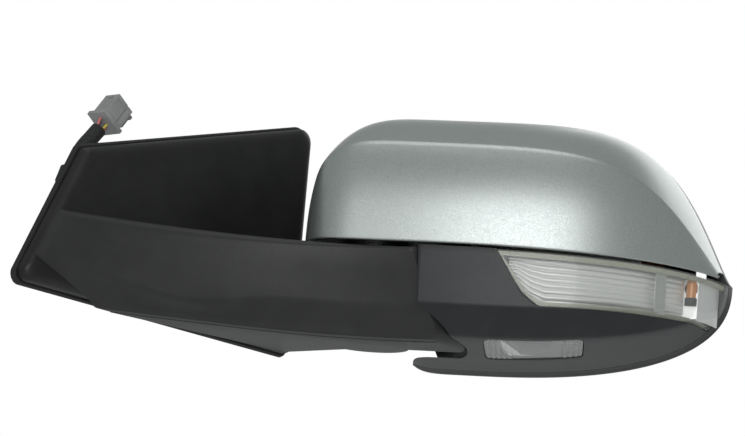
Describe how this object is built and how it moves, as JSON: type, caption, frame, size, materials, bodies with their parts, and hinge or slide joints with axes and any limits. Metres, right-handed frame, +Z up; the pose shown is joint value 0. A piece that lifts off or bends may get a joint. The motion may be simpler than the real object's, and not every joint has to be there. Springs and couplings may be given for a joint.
{
  "type": "car door mirror",
  "caption": "Left-hand door mirror with a painted cap, dark sail foot and arm, power folding head, tilting glass, clear side indicator and puddle lamp.",
  "frame": {"origin": "axis of the locating peg, in the plane of the door face", "axes": "+X outboard along the head, +Y rearward (the way the glass faces), +Z up"},
  "size_m": [0.3732, 0.1937, 0.147],
  "materials": {
    "silver_paint": "metallic base coat under clear lacquer",
    "black_moulding": "fine grained black moulding",
    "grey_moulding": "fine grained dark grey moulding",
    "cast_alloy": "die cast",
    "seal_rubber": "matt rubber",
    "brass": "turned",
    "steel": "zinc plated",
    "motor_can": "drawn steel can",
    "harness_black": "woven sleeve",
    "wire_insulation": "coloured insulation",
    "connector_grey": "moulded nylon",
    "connector_latch": "moulded nylon",
    "natural_nylon": "natural nylon",
    "heater_film": "printed heating film",
    "mirror": "silvered glass",
    "clear_lens": "clear moulded lens",
    "reflector": "metallised",
    "amber_bulb": "amber lacquered glass",
    "lamp_white": "frosted"
  },
  "bodies": {
    "foot": {"foot_cover": "black_moulding", "arm_cover": "black_moulding", "base_casting": "cast_alloy", "door_seal": "seal_rubber", "thread_inserts": "brass", "foot_screws": "steel", "harness_grommet": "seal_rubber", "harness_clip": "harness_black", "harness_tube": "harness_black", "wire_tails": "wire_insulation", "connector_body": "connector_grey", "connector_lock": "connector_latch", "pivot_post": "steel", "detent_ring": "steel", "post_washer": "steel", "fold_wheel": "brass"},
    "head": {"painted_cap": "silver_paint", "lower_cover": "grey_moulding", "pivot_shroud": "grey_moulding", "bezel": "black_moulding", "head_frame": "cast_alloy", "frame_screws": "steel", "fold_gearcase": "grey_moulding", "fold_motor": "motor_can", "fold_spring": "steel", "actuator_case": "natural_nylon", "actuator_cover": "natural_nylon", "motor_vertical": "motor_can", "motor_horizontal": "motor_can", "indicator_lens": "clear_lens", "indicator_reflector": "reflector", "indicator_bulb": "amber_bulb", "bulb_socket": "seal_rubber", "puddle_lens": "clear_lens", "puddle_housing": "grey_moulding", "puddle_lamp": "lamp_white", "head_loom": "harness_black"},
    "worm": {"fold_worm": "steel"},
    "nut_v": {"nut_vertical": "natural_nylon"},
    "nut_h": {"nut_horizontal": "natural_nylon"},
    "jack_v": {"jack_vertical": "natural_nylon"},
    "jack_h": {"jack_horizontal": "natural_nylon"},
    "gimbal": {"gimbal_ring": "steel"},
    "glass": {"glass_holder": "black_moulding", "heater_pad": "heater_film", "mirror_glass": "mirror"}
  },
  "joints": [
    {"name": "head_fold", "type": "hinge", "parent": "foot", "child": "head", "pos_m": [0.11721, 0.03452, 0], "axis": [0, 0, 1], "range_deg": [-20, 60]},
    {"name": "worm_spin", "type": "hinge", "parent": "head", "child": "worm", "pos_m": [0.11721, 0.01272, 0.017], "axis": [1, 0, 0], "range_deg": [-610, 1810]},
    {"name": "tilt_vertical", "type": "hinge", "parent": "head", "child": "gimbal", "pos_m": [0.21521, 0.06902, 0.014], "axis": [1, 0, 0], "range_deg": [-7, 7]},
    {"name": "tilt_horizontal", "type": "hinge", "parent": "gimbal", "child": "glass", "pos_m": [0.21521, 0.06902, 0.014], "axis": [0, 0, 1], "range_deg": [-7, 7]},
    {"name": "jack_slide_v", "type": "slide", "parent": "head", "child": "jack_v", "axis": [0, 1, 0], "range_m": [-0.0036, 0.0036]},
    {"name": "jack_slide_h", "type": "slide", "parent": "head", "child": "jack_h", "axis": [0, 1, 0], "range_m": [-0.0036, 0.0036]},
    {"name": "nut_spin_v", "type": "hinge", "parent": "head", "child": "nut_v", "pos_m": [0.21521, 0.05202, 0.042], "axis": [0, 1, 0], "range_deg": [-410, 410]},
    {"name": "nut_spin_h", "type": "hinge", "parent": "head", "child": "nut_h", "pos_m": [0.24321, 0.05202, 0.014], "axis": [0, 1, 0], "range_deg": [-410, 410]}
  ],
  "couplings": [
    {"joint": "worm_spin", "follows": "head_fold", "ratio": 30},
    {"joint": "jack_slide_v", "follows": "tilt_vertical", "m_per_rad": -0.028},
    {"joint": "jack_slide_h", "follows": "tilt_horizontal", "m_per_rad": 0.028},
    {"joint": "nut_spin_v", "follows": "tilt_vertical", "ratio": 58},
    {"joint": "nut_spin_h", "follows": "tilt_horizontal", "ratio": -58}
  ]
}
